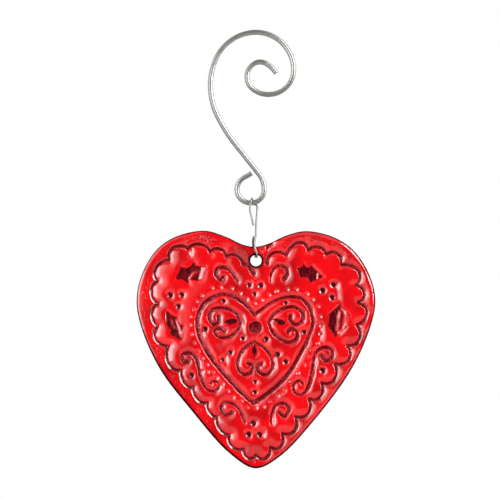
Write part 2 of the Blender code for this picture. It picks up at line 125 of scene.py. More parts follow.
# Three small leaf shapes in the scrolls and the holly-like leaves: the outline of each and how wide
# its sloping right wall is
LEAVES = [
    ([(224.6, 322.8), (226, 320.2), (231, 318.8), (236.4, 318.9), (238.3, 321.3),
      (236, 323.4), (230.5, 324.9), (226, 325.2)], 1.2),
    ([(272.4, 319), (277.5, 318.8), (283.2, 320), (286.6, 322.4), (284.4, 325), (279.4, 325),
      (274.4, 323.4)], 1.2),
    ([(254.6, 342.6), (256.5, 346.5), (257.7, 351), (256.6, 354.8), (254.6, 357.4),
      (252.5, 354.6), (251.5, 350.6), (252.8, 346.5)], 1.2),
    ([(205.2, 266.8), (197.4, 266.1), (193.7, 261.8), (190.8, 266), (186.9, 268.3),
      (179.8, 266.9), (179.5, 271), (175.2, 279.4), (182.9, 279.9), (189.2, 283.4),
      (190.6, 279.6), (198, 280.6), (202.2, 279.4), (204.9, 272)], 5.0),
    ([(296.9, 268.5), (300.5, 267.2), (302.6, 265.8), (303.8, 262.9), (305.5, 266),
      (307.6, 267.8), (309.7, 267), (311.9, 264.8), (314, 268), (318, 271.8), (323.4, 276.8),
      (319, 279.4), (314, 281), (311, 282.8), (309.2, 281.6), (307.8, 279.2), (305.6, 277),
      (300.1, 277.7), (298, 272.7)], 1.2),
    ([(166.5, 311.2), (169, 312.5), (171.5, 314.8), (173.8, 316.1), (177.4, 316.9),
      (177.8, 320.5), (179.6, 324.1), (184.3, 325.9), (183.6, 329.9), (182.5, 339.3),
      (180.3, 340.1), (174.5, 336.8), (169.8, 335), (170.1, 330.6), (166.5, 325.6),
      (167.2, 319.8)], 1.2),
    ([(340.6, 303.6), (342.2, 307), (347.4, 312), (350, 316), (349.6, 322), (348.6, 324.6),
      (342, 331), (336.5, 336.5), (335.2, 337.8), (331.3, 331.5), (327.3, 325),
      (328.9, 319.4), (328.5, 314.5), (335.3, 311.3)], 5.5),
]

# Ribs and teeth of the leaves: the foot of each one's lit side, from top to bottom, and its width
LEAF_RIBS = [
    ((338.0, 310.5), (335.2, 332), 3.4), ((343.4, 311.5), (341.4, 328), 3.4),
    ((170.4, 320), (174.6, 329.5), 1.5),
    ((175.2, 320.5), (180.4, 337.5), 2.8), ((182.4, 327), (181.8, 334), 1.3),
    ((188.4, 276.5), (188.2, 284.5), 2.2), ((190.8, 273), (190.6, 277.5), 1.8),
    ((193.2, 272), (193, 275.5), 1.8), ((195.8, 270.8), (195.6, 274), 1.8),
    ((311.6, 264.5), (320.5, 274.5), 2.4), ((316.5, 273), (316, 279.5), 2.2),
]

# Soft hollows between the lines: the foot of each one's lit side, from top to bottom, how wide that
# side is and how steep
HOLLOWS = [
    ((188.3, 246.5), (189.3, 257.5), 4.5, 0.27), ((335.5, 282), (338, 301), 5.0, 0.23),
    ((320.5, 323), (319.5, 342), 5.5, 0.21), ((286, 389), (271, 401.5), 3.6, 0.20),
    ((317.3, 355), (314.6, 366), 3.0, 0.27), ((314.6, 366), (312, 378), 3.0, 0.27),
    ((312, 378), (307, 390), 3.0, 0.25), ((273.5, 411), (272.5, 425), 3.4, 0.24),
    ((264, 428), (263.5, 438), 3.4, 0.24), ((201.8, 331), (208.8, 349), 2.4, 0.27),
    ((225.5, 353), (227, 367), 4.0, 0.24), ((299.5, 331), (294, 343), 2.6, 0.24),
    ((304, 311), (303.6, 323), 2.4, 0.25), ((273.8, 352), (275, 369), 2.6, 0.25),
    ((242.5, 313), (243.5, 338), 3.0, 0.22), ((212, 338), (228, 372), 15.0, 0.035),
    ((306.5, 250), (307, 253.5), 2.0, 0.28), ((325, 254.5), (325.5, 258), 2.0, 0.28),
    ((340.2, 265), (340.8, 269), 2.0, 0.28), ((351.5, 283.5), (350.8, 287), 2.0, 0.28),
    ((355, 303), (355, 306.5), 2.0, 0.28), ((356, 325.5), (355.5, 328.5), 2.0, 0.28),
    ((346.5, 325), (337.5, 335), 3.5, 0.20),
]

# Round pits, among them the berries: place and radius
PITS = [
    (223.2, 301, 2.5), (285.2, 303.2, 2.4), (204.7, 329, 3.0), (303.7, 332.3, 2.8),
    (242.3, 338.5, 2.3), (265.7, 339, 2.9), (230, 352.5, 2.4), (222.3, 360, 2.3),
    (277.2, 354.5, 2.8), (285.2, 362, 2.9), (254.6, 381.8, 2.3), (254.4, 392.3, 2.5),
    (248.7, 285.2, 2.7), (260.2, 285.5, 3.1), (254, 294, 2.3),
    (169.7, 295.2, 3.1), (181.3, 295, 2.9), (178, 306.5, 2.8),
    (333, 284.8, 2.9), (322, 290.7, 3.2), (331.5, 297.6, 2.9),
    (252.8, 423.3, 3.2), (248.2, 434.5, 3.2), (259.2, 434.7, 3.2),
    (191.3, 375.3, 2.8), (322, 370.7, 3.2),
]
CENTRE_DISC = (255.2, 327.7, 6.7)

# The glint in the chip, and then the row of small dimples round the inner heart
DIMPLES = [
    (267.2, 247.0),
    (202.3, 295.5), (212.3, 288), (221, 287.5), (232, 288.5), (240.5, 293.3), (247.3, 299),
    (255, 303.5), (262, 300), (269.3, 295), (277, 291), (287.5, 289.5), (296.5, 289.5),
    (307, 293.7), (312.7, 299.5), (318.3, 306.5), (320.3, 316.7), (321.5, 325.5),
    (320.7, 333.5), (318, 343.5), (312, 350), (308.5, 357), (304.5, 365), (298, 372.7),
    (291, 381), (284, 390), (277.5, 396), (270.3, 401.5), (264, 406.5), (256.5, 408),
    (247.7, 407.5), (242, 401), (233.5, 397), (228.5, 391), (223, 383.7), (217.3, 377.3),
    (213.6, 372.3), (208.2, 371.7), (203.2, 371.3), (207.5, 364.7), (202.7, 358.3), (199, 351),
    (195, 343), (192.3, 334.3), (190.3, 325), (190.5, 316.5), (194.3, 309.3), (197, 301.7),
]

# Pressed glass heart, its shape: the rim has a small round at the front, where the right side
# slopes away further, and a larger one at the back. Rounded tools pressed the lines, so the glass
# swells softly between them. The hanging hole is drilled afterwards and flared at both faces.
HEART_THICKNESS = 0.0042
FRONT_EDGE_ROUND = 0.0004
BACK_EDGE_ROUND = 0.0008
RIGHT_EDGE_FALL = 0.00047
RIGHT_EDGE_WIDTH = 0.00120
LEFT_EDGE_FALL = 0.00012
LEFT_EDGE_WIDTH = 0.00070
# Painted shade: the outline and the hole's rim are coloured near black over these widths
DARK_EDGE_WIDTH = 0.00038
DARK_EDGE_FADE = (0.00026, 0.00042)
DARK_HOLE_EDGE = 0.00033
RIM_BAND_FADE = (0.0016, 0.0020)
HOLE_RADIUS = 0.00195
HOLE_CHAMFER = 0.0005
HOLE_BELOW_NOTCH = 0.0048
GROOVE_DEPTH = 0.00036
CENTRE_DISC_DEPTH = 0.00040
LEAF_DEPTH = 0.00050
DIMPLE_DEPTH = 0.00036
RIM_DROP_LEFT = 0.00006
RIM_DROP_RIGHT = 0.00013
SHOULDER = 0.00045
FRONT_SWELL = 0.00014
BACK_SWELL = 0.00003
RIB_SLOPE = 0.000095

# The flat faces start from coarse cells, which are halved this near to a mark, in units of the
# sheet, and to the rim, in metres.
COARSE_CELL = 0.0012
FINER_CELLS = ((7.5, 0.0030), (3.4, 0.0019), (1.7, 0.0))

# The rest is in units of the sheet: the walls of the marks, and for each kind of mark the share of
# the shoulder by which the glass falls towards it, and from how far.
OUTER_WALL = 1.8
OUTER_WALL_REACH = 0.3
INNER_WALL = 0.5
DIMPLE_LEFT = 1.9
DIMPLE_RIGHT = 3.0
BORDER_FALL_OUTSIDE = 0.45
BORDER_FALL_REACH = 9.0
LINE_FALL = (0.7, 5.5)
PIT_FALL = (0.6, 5.0)
DISC_FALL = (0.3, 4.0)
LEAF_FALL = (0.3, 5.0)
MARK_REACH = 12.0

half_thick = HEART_THICKNESS / 2
hole_y = -HOLE_BELOW_NOTCH
unit = HEART_WIDTH / SHEET_WIDTH


def smooth_line(points, steps, closed=False):
    """Points of a smooth curve through the given points, as many steps from each to the next."""
    given = [np.array(point, float) for point in points]
    if closed:
        given = [given[-1], *given, given[0], given[1]]
    else:
        given = [2 * given[0] - given[1], *given, 2 * given[-1] - given[-2]]
    line = []
    for before, start, end, after in zip(given, given[1:], given[2:], given[3:]):
        t1 = math.sqrt(np.linalg.norm(start - before))
        t2 = t1 + math.sqrt(np.linalg.norm(end - start))
        t3 = t2 + math.sqrt(np.linalg.norm(after - end))
        for step in range(steps):
            t = t1 + (t2 - t1) * step / steps
            a = before + (start - before) * t / t1
            b = start + (end - start) * (t - t1) / (t2 - t1)
            c = end + (after - end) * (t - t2) / (t3 - t2)
            inner = a + (b - a) * t / t2
            outer = b + (c - b) * (t - t1) / (t3 - t1)
            line.append(inner + (outer - inner) * (t - t1) / (t2 - t1))
    if not closed:
        line.append(given[-2])
    return np.array(line)


def scallop_line(start, crest, end, steps=12):
    """The bulging line of one scallop, a cubic curve that passes its crest half way."""
    start, crest, end = np.array(start), np.array(crest), np.array(end)
    rise = (crest - (start + end) / 2) * 4 / 3
    lead = (end - start) * SCALLOP_ROUNDNESS / 2
    t = np.linspace(0, 1, steps + 1)[:, None]
    curve = (1 - t) ** 3 * start + 3 * t * (1 - t) ** 2 * (start + lead + rise)
    return curve + 3 * t * t * (1 - t) * (end - lead + rise) + t ** 3 * end


def nearest(spots, line):
    """How far spots are from a line, and how far along it each one's nearest place is."""
    gap = np.full(len(spots), 1e9)
    along = np.zeros(len(spots))
    run = 0.0
    for start, end in zip(line, line[1:]):
        step = end - start
        length = np.hypot(*step)
        off = spots - start
        t = np.clip(off @ step / length ** 2, 0, 1)
        here = np.hypot(off[:, 0] - t * step[0], off[:, 1] - t * step[1])
        closer = here < gap
        gap[closer] = here[closer]
        along[closer] = run + t[closer] * length
        run += length
    return gap, along / run


def edges_level_with(spots, outline):
    """For each edge of an outline, the spots level with it and how far right of them it is."""
    for (x1, y1), (x2, y2) in zip(outline, np.roll(outline, -1, axis=0)):
        if y1 != y2:
            level = (spots[:, 1] < y1) != (spots[:, 1] < y2)
            yield level, x1 + (spots[:, 1] - y1) * (x2 - x1) / (y2 - y1) - spots[:, 0]


def inside(spots, outline):
    """Which spots lie inside a closed outline."""
    within = np.zeros(len(spots), bool)
    for level, gap in edges_level_with(spots, outline):
        within ^= level & (gap > 0)
    return within


def room_to_right(spots, outline):
    """How far spots inside an outline are from its next edge straight to the right."""
    room = np.full(len(spots), 1e9)
    for level, gap in edges_level_with(spots, outline):
        ahead = level & (gap > 0)
        room[ahead] = np.minimum(room[ahead], gap[ahead])
    return room


def near(spots, line, reach):
    """Which spots are close enough to a line or a place to be worth measuring."""
    line = np.atleast_2d(line)
    low, high = line.min(0) - reach, line.max(0) + reach
    return np.all((spots > low) & (spots < high), axis=1)


def ramp(value, low, high):
    """0 below one value, 1 above another and a smooth change between them."""
    t = np.clip((value - low) / (high - low), 0, 1)
    return t * t * (3 - 2 * t)


edge_line = smooth_line(OUTLINE, 14, closed=True)
border = [scallop_line(*ends) for ends in zip(SCALLOP_CUSPS, SCALLOP_CRESTS, SCALLOP_CUSPS[1:])]
border_tail = smooth_line(SCALLOP_TAIL[0], 5)
border_ring = np.concatenate([line[:-1] for line in border] + [border_tail[::-1]])
drawn_lines = [*INNER_HEART, *SCROLLS, SCALLOP_TAIL, *CHIP]
strokes = [(smooth_line(line, 5), widths) for line, widths in drawn_lines]
leaf_lines = [(smooth_line(leaf, 1, closed=True), wall) for leaf, wall in LEAVES]


def distance_to(spots, lines, reach):
    """The distance from each spot to the nearest of several lines, up to a reach."""
    gap = np.full(len(spots), float(reach))
    for line in lines:
        close = near(spots, line, reach)
        gap[close] = np.minimum(gap[close], nearest(spots[close], line)[0])
    return gap


def lay(layer, close, value):
    """Keeps the greater of what a layer holds and what a mark gives it."""
    layer[close] = np.maximum(layer[close], value)


def beside(spots, start, end, width):
    """Spots near a short ridge or dip, how far right of it they are, and 1 along it, 0 past it."""
    close = near(spots, (start, end), 3 * width)
    run = np.array(end) - start
    off = spots[close] - start
    along = off @ run / (run @ run)
    right = (off[:, 0] * run[1] - off[:, 1] * run[0]) / np.hypot(*run)
    return close, right, ramp(along, -0.15, 0.15) * (1 - ramp(along, 0.85, 1.15))


def carve(spots):
    """What the relief does at each spot of the sheet.

    Gives its depth in metres and masks from 0 to 1: for the dark glass of the marks, the dull
    middle of their floors, rough leaf, the plain rim and a painted pale sheen on the side of lines
    that faces the left lamp.
    """
    cut, dark, floor_middle, rough, wall_sheen, hollow = np.zeros((6, len(spots)))
    level = np.ones(len(spots))
    waver = 1 + 0.3 * np.array([noise.noise(Vector((x * 0.17, y * 0.17, 5.0))) for x, y in spots])

    def settle(close, outside, share, reach):
        """Lets the glass fall softly to a mark, from how far outside it each spot is."""
        level[close] *= 1 - share * np.clip(1 - np.maximum(0, outside) / reach, 0, 1) ** 2

    def press(close, gap, half, wall, depth, fall, glossy=0.0, spread=0.0):
        """Presses one mark: a floor, straight walls this wide, and the fall of the glass to it.

        A glossy wall keeps its shine, and spread moves its top outwards.
        """
        lay(cut, close, depth * np.clip((half + spread - gap) / wall, 0, 1))
        lay(dark, close, 1 - ramp(gap, half - 0.5, half + 0.1))
        floor_end = half + 0.5 - glossy * (wall + 0.5)
        lay(floor_middle, close, 1 - ramp(gap, floor_end - 0.6, floor_end))
        settle(close, gap - half, *fall)

    ring_gap = distance_to(spots, border, 16.0)
    rim = np.where(inside(spots, border_ring), 0.0, 1.0)
    half = BORDER_HALF_WIDTH * waver + np.where(rim > 0, 0.15, 0.0)
    wall = np.where(rim > 0, OUTER_WALL, INNER_WALL)
    fall = np.where(rim > 0, BORDER_FALL_OUTSIDE, 1.0)
    lower_left_side = (1 - ramp(spots[:, 0], 215, 260)) * ramp(spots[:, 1], 255, 275)
    press(
        slice(None), ring_gap, half, wall, GROOVE_DEPTH, (fall, BORDER_FALL_REACH),
        glossy=rim * (0.35 + 0.55 * lower_left_side), spread=rim * OUTER_WALL_REACH
    )
    for number, (line, widths) in enumerate(strokes):
        close = near(spots, line, MARK_REACH)
        gap, along = nearest(spots[close], line)
        half = np.interp(along, (0, 0.5, 1), widths) * waver[close]
        wall = 0.6 if number < len(INNER_HEART) else half * 0.5
        press(close, gap, half, wall, GROOVE_DEPTH * np.minimum(1, half / 1.2), LINE_FALL)
        # A painted pale sheen on the part of each line's wall that faces the left lamp, mostly on
        # the heart's left
        right_of_line = ramp(nearest(spots[close] + (0.4, 0), line)[0] - gap, 0.05, 0.35)
        on_wall = ramp(gap, 0.15 * half, 0.6 * half) * (1 - ramp(gap, half, half + 0.4))
        on_left = 1 - 0.8 * ramp(spots[close][:, 0], 225, 265)
        lay(wall_sheen, close, right_of_line * on_wall * on_left)
    for x, y, radius in PITS:
        close = near(spots, (x, y), MARK_REACH)
        off = spots[close] - (x, y)
        gap = np.hypot(*off.T) + 1e-6
        inward = np.clip(radius - gap, 0, None)
        lower_left = ramp((0.5 * off[:, 1] - off[:, 0]) / gap, 0.1, 0.8)
        lip = np.minimum(inward, 0.6 * radius * lower_left)
        lay(cut, close, (0.5 * lip + 1.3 * (inward - lip)) * unit)
        lay(dark, close, 1 - ramp(gap, radius - 0.5, radius + 0.1))
        lay(floor_middle, close, 0.75 * (1 - ramp(gap, 0.35 * radius, 0.7 * radius)))
        settle(close, gap - radius, *PIT_FALL)
    x, y, radius = CENTRE_DISC
    close = near(spots, (x, y), radius + 9.0)
    gap = np.hypot(*(spots[close] - (x, y)).T)
    press(close, gap, radius, 0.8, CENTRE_DISC_DEPTH, DISC_FALL)
    for x, y in DIMPLES:
        close = near(spots, (x, y), 8.0)
        off = spots[close] - (x - 0.8, y)
        gap = np.hypot(*off.T) + 1e-6
        reach = DIMPLE_LEFT + (DIMPLE_RIGHT - DIMPLE_LEFT) * (1 + off[:, 0] / gap) / 2
        firmness = 0.85 + 0.5 * noise.noise(Vector((x * 0.3, y * 0.3, 9.0)))
        cut[close] += DIMPLE_DEPTH * firmness * np.clip(1 - gap / reach, 0, 1)

    for leaf, wall in leaf_lines:
        close = near(spots, leaf, MARK_REACH)
        gap = nearest(spots[close], leaf)[0]
        within = inside(spots[close], leaf[:-1])
        sunk = np.where(within, gap, -gap)
        room = room_to_right(spots[close], leaf[:-1])
        across = room + room_to_right(spots[close] * (-1, 1), leaf[:-1] * (-1, 1))
        room = np.where(within, room / np.minimum(wall, 0.4 * across), 0)
        lay(cut, close, LEAF_DEPTH * np.clip(np.minimum(sunk / 0.9, 0.2 + room), 0, 1))
        lay(dark, close, ramp(sunk, -0.4, 0.3) * (0.12 + 0.88 * ramp(room, 0.55, 0.9)))
        lay(rough, close, ramp(sunk, 0.0, 0.8))
        matt = ramp(sunk, -1.3, -0.5) * np.where(within, ramp(room, 0.55, 0.9), 1)
        lay(floor_middle, close, matt)
        settle(close, -sunk, *LEAF_FALL)
    for start, end, width in LEAF_RIBS:
        close, right, here = beside(spots, start, end, width)
        rib = np.clip(np.minimum(right / width, 1 - (right - width) / (1.6 * width)), 0, 1)
        cut[close] -= RIB_SLOPE * width * rib * here
        lit = ramp(right, -0.2, 0.4) * (1 - ramp(right, width - 0.3, width + 0.5)) * here
        dark[close] *= 1 - 0.85 * lit
        floor_middle[close] *= 1 - lit
    for start, end, width, slope in HOLLOWS:
        close, right, here = beside(spots, start, end, width)
        dip = np.clip(np.minimum(1 + right / (1.6 * width), 1 - right / width), 0, 1)
        lay(hollow, close, slope * width * dip * here)

    away = ramp(ring_gap, 2.2, 6.0)
    on_right = ramp(spots[:, 0], 250, 330)
    rim_drop = RIM_DROP_LEFT * away * (1 - on_right)
    rim_drop += RIM_DROP_RIGHT * (1 - away) * ramp(ring_gap, 0.0, 1.5) * on_right
    depth = np.maximum(0, cut) + SHOULDER * (1 - level) + rim * rim_drop + hollow * unit
    return depth, {
        "pressed_glass": dark, "floor_middle": floor_middle, "leaf_floor": rough,
        "rim_band": rim * ramp(ring_gap, 3.5, 5.5), "frosted": wall_sheen,
    }


def to_sheet(flat):
    """Places on the sheet of points of the glass that are still drawn flat, in metres."""
    x = SHEET_MIDLINE + flat[:, 0] * SHEET_WIDTH / HEART_WIDTH
    y = SHEET_NOTCH - flat[:, 1] * SHEET_HEIGHT / HEART_HEIGHT
    return np.column_stack((x, y))


def from_sheet(spots):
    """Points of the glass, drawn flat, for places on the sheet."""
    x = (spots[:, 0] - SHEET_MIDLINE) * HEART_WIDTH / SHEET_WIDTH
    y = (SHEET_NOTCH - spots[:, 1]) * HEART_HEIGHT / SHEET_HEIGHT
    return np.column_stack((x, y))


edge_points = from_sheet(edge_line)


def edge_distance(flat):
    """How far points are inside the outline of the glass, in metres."""
    gap = nearest(flat, np.vstack((edge_points, edge_points[:1])))[0]
    return np.where(inside(flat, edge_points), gap, -gap)


def mesh_from(bm, name):
    """The mesh of a finished shape."""
    made = bpy.data.meshes.new(name)
    bm.to_mesh(made)
    bm.free()
    return made


def put_up(name, data):
    """Adds an object to the scene."""
    made = bpy.data.objects.new(name, data)
    bpy.context.scene.collection.objects.link(made)
    return made


def mark_distance(flat):
    """How far points are from the nearest tool mark, in sheet units."""
    spots = to_sheet(flat)
    gap = distance_to(spots, border + [line for line, _ in strokes], 9.0)
    for leaf, _ in leaf_lines:
        gap = np.minimum(gap, distance_to(spots, [leaf], 9.0))
    for x, y, radius in [*PITS, CENTRE_DISC, *((x, y, 1.2) for x, y in DIMPLES)]:
        close = near(spots, (x, y), radius + 9.0)
        away = np.hypot(*(spots[close] - (x, y)).T)
        gap[close] = np.minimum(gap[close], np.maximum(0, away - radius))
    return gap


def refine(bm, from_marks, from_rim):
    """Halves the cells of a flat sheet that are this near to a tool mark or to the rim."""
    centres = np.array([face.calc_center_median()[:2] for face in bm.faces])
    wanted = (mark_distance(centres) < from_marks) | (edge_distance(centres) < from_rim)
    edges = {edge for face, fine in zip(bm.faces, wanted) if fine for edge in face.edges}
    bmesh.ops.subdivide_edges(bm, edges=list(edges), cuts=1, use_grid_fill=True)


def flat_sheet(height, margin, finer):
    """A flat sheet clear of the rim by a margin and of the hole, with finer cells where asked."""
    bm = bmesh.new()
    across = math.ceil(HEART_WIDTH / COARSE_CELL)
    up = math.ceil(HEART_HEIGHT * 1.08 / COARSE_CELL)
    bmesh.ops.create_grid(bm, x_segments=across, y_segments=up, size=0.5)
    bmesh.ops.scale(bm, vec=(across * COARSE_CELL, up * COARSE_CELL, 1.0), verts=bm.verts)
    bmesh.ops.translate(bm, vec=(0.0, -HEART_HEIGHT * 0.46, height), verts=bm.verts)
    for reaches in finer[:2]:
        refine(bm, *reaches)
    bm.verts.ensure_lookup_table()
    flat = np.array([vert.co[:2] for vert in bm.verts])
    from_hole = np.hypot(flat[:, 0], flat[:, 1] - hole_y) - HOLE_RADIUS - HOLE_CHAMFER
    outside = (edge_distance(flat) < margin) | (from_hole < 0.0002)
    lost = [bm.verts[i] for i in np.flatnonzero(outside)]
    bmesh.ops.delete(bm, geom=lost, context="VERTS")
    while lost:
        lost = [vert for vert in bm.verts if sum(edge.is_boundary for edge in vert.link_edges) > 2]
        lost += [vert for vert in bm.verts if not vert.link_faces]
        bmesh.ops.delete(bm, geom=lost, context="VERTS")
    for reaches in finer[2:]:
        refine(bm, *reaches)
    return mesh_from(bm, "sheet")


heart_bm = bmesh.new()
back_face = heart_bm.faces.new([heart_bm.verts.new((x, y, -half_thick)) for x, y in edge_points])
raised = bmesh.ops.extrude_face_region(heart_bm, geom=[back_face], use_keep_orig=True)
front_verts = [item for item in raised["geom"] if isinstance(item, bmesh.types.BMVert)]
bmesh.ops.translate(heart_bm, vec=(0.0, 0.0, HEART_THICKNESS), verts=front_verts)
bmesh.ops.recalc_face_normals(heart_bm, faces=heart_bm.faces)
rim_rounds = ((half_thick, FRONT_EDGE_ROUND, 6), (-half_thick, BACK_EDGE_ROUND, 5))
for height, radius, segments in rim_rounds:
    round_edges = [e for e in heart_bm.edges if all(abs(v.co.z - height) < 1e-7 for v in e.verts)]
    bmesh.ops.bevel(
        heart_bm, geom=round_edges, offset=radius, offset_type="OFFSET", segments=segments,
        profile=0.5, affect="EDGES", material=-1
    )
flat_faces = [face for face in heart_bm.faces if len(face.verts) > 4]
bmesh.ops.delete(heart_bm, geom=flat_faces, context="FACES_ONLY")

drill_profile = [
    (HOLE_RADIUS + HOLE_CHAMFER, -half_thick),
    (HOLE_RADIUS + HOLE_CHAMFER * 0.4, 0.25 * HOLE_CHAMFER - half_thick),
    (HOLE_RADIUS, HOLE_CHAMFER - half_thick),
]
drill_profile += [(x, -z) for x, z in reversed(drill_profile)]
corners = [heart_bm.verts.new((x, hole_y, z)) for x, z in drill_profile]
wall = [heart_bm.edges.new(pair) for pair in zip(corners, corners[1:])]
bmesh.ops.spin(
    heart_bm, geom=corners + wall, cent=(0.0, hole_y, 0.0), axis=(0.0, 0.0, 1.0), angle=math.tau,
    steps=72, use_merge=True
)
heart_bm.from_mesh(flat_sheet(half_thick, FRONT_EDGE_ROUND + 0.00012, FINER_CELLS))
heart_bm.from_mesh(flat_sheet(-half_thick, BACK_EDGE_ROUND + 0.0003, ()))
for height in (half_thick, -half_thick):
    open_edges = [
        edge for edge in heart_bm.edges
        if edge.is_boundary and all(abs(vert.co.z - height) < 1e-7 for vert in edge.verts)
    ]
    bmesh.ops.triangle_fill(heart_bm, use_beauty=True, edges=open_edges, normal=(0.0, 0.0, 1.0))
bmesh.ops.recalc_face_normals(heart_bm, faces=heart_bm.faces)
for face in heart_bm.faces:
    face.smooth = True
heart_mesh = mesh_from(heart_bm, "pressed_heart")

flat = np.empty(len(heart_mesh.vertices) * 3)
heart_mesh.vertices.foreach_get("co", flat)
flat = flat.reshape(-1, 3)
depth, masks = carve(to_sheet(flat[:, :2]))
on_front = ramp(flat[:, 2], 0.0, half_thick)
swelling = np.array([noise.noise(Vector((x * 130, y * 130, z * 80))) for x, y, z in flat]) + 1.0
inwards = edge_distance(flat[:, :2])
from_edge = np.clip(inwards, FRONT_EDGE_ROUND, None)
right_side = ramp(flat[:, 0], -0.005, 0.02)
left_side = ramp(-flat[:, 0], 0.010, 0.025) * ramp(flat[:, 1], -0.045, -0.030)
for side, fall, width in (
    (right_side, RIGHT_EDGE_FALL, RIGHT_EDGE_WIDTH), (left_side, LEFT_EDGE_FALL, LEFT_EDGE_WIDTH)
):
    depth += side * fall * np.clip(1 - (from_edge - FRONT_EDGE_ROUND) / width, 0, 1) ** 1.5
masks["rim_band"] *= ramp(from_edge, *RIM_BAND_FADE)
# Where the painted edge shade lies: round the hole, and along the outline, reaching in further
# below the top of the heart and less on its right side
from_hole = np.hypot(flat[:, 0], flat[:, 1] - hole_y) - HOLE_RADIUS - DARK_HOLE_EDGE
from_rim = inwards - DARK_EDGE_WIDTH * ramp(-flat[:, 1], 0.01, 0.05) * (1 - 0.6 * right_side)
shaped = flat.copy()
shaped[:, 2] -= (depth + swelling * FRONT_SWELL) * on_front
shaped[:, 2] += swelling * BACK_SWELL * ramp(-flat[:, 2], 0.0, half_thick)
standing = np.column_stack((shaped[:, 0], -shaped[:, 2], shaped[:, 1] + NOTCH_Z))
heart_mesh.vertices.foreach_set("co", standing.ravel())
front_only = ramp(flat[:, 2], half_thick - 0.0006, half_thick - 0.0002)
masks = {name: mask * front_only for name, mask in masks.items()}
# Painted shade: near black along the outline and round the hole, a darker red on the side wall
masks["edge_dark"] = 1 - ramp(np.minimum(from_rim, from_hole), *DARK_EDGE_FADE)
masks["side_wall"] = ramp(half_thick - flat[:, 2], 0.0004, 0.0008)
for name, mask in masks.items():
    layer = heart_mesh.attributes.new(name, "FLOAT", "POINT")
    layer.data.foreach_set("value", mask.astype(np.float32))
heart_mesh.update()
pressed_heart = put_up("pressed_heart", heart_mesh)


# Pressed glass heart, its finish: red glass with a wet gloss, dark maroon, dull and grainy on the
# floors of the lines, pits and leaves. Painted shade darkens its edge and the hole's rim to near
# black and its side wall to a darker red. The side of many lines that faces the left lamp has a
# painted pale sheen, and the plain rim keeps a faint orange peel and a few pin bubbles.
BRIGHT_RED = (0.74, 0.0018, 0.005)
DEEP_RED = (0.40, 0.001, 0.003)
FLOOR_MAROON = (0.085, 0.0006, 0.003)
# Mauve for the grain in the middle of the floors, partly the grain's own colour and partly a
# painted sheen
FLOOR_MAUVE = (0.48, 0.040, 0.052)
# A painted pale lilac sheen, for the side of lines that faces the left lamp
PAINTED_SHEEN_LILAC = (0.55, 0.22, 0.27)
LEAF_RED = (0.17, 0.0015, 0.006)
LEAF_DARK = (0.035, 0.0004, 0.002)
# Painted shade: near black for the edge and the hole's rim, a darker red for the side wall
EDGE_SHADE_BLACK = (0.010, 0.001, 0.002)
SIDE_SHADE_RED = (0.26, 0.0012, 0.004)


class Tone:
    """A shader value that is reckoned with like a number."""

    def __init__(self, finish, socket):
        self.finish = finish
        self.socket = socket

    def reckon(self, operation, left, right):
        return self.finish.node("ShaderNodeMath", {"operation": operation}, {0: left, 1: right})

    def __add__(self, other):
        return self.reckon("ADD", self, other)

    def __sub__(self, other):
        return self.reckon("SUBTRACT", self, other)

    def __rsub__(self, other):
        return self.reckon("SUBTRACT", other, self)

    def __mul__(self, other):
        return self.reckon("MULTIPLY", self, other)

    def most(self, other):
        """The greater of two values."""
        return self.reckon("MAXIMUM", self, other)

    __radd__ = __add__
    __rmul__ = __mul__


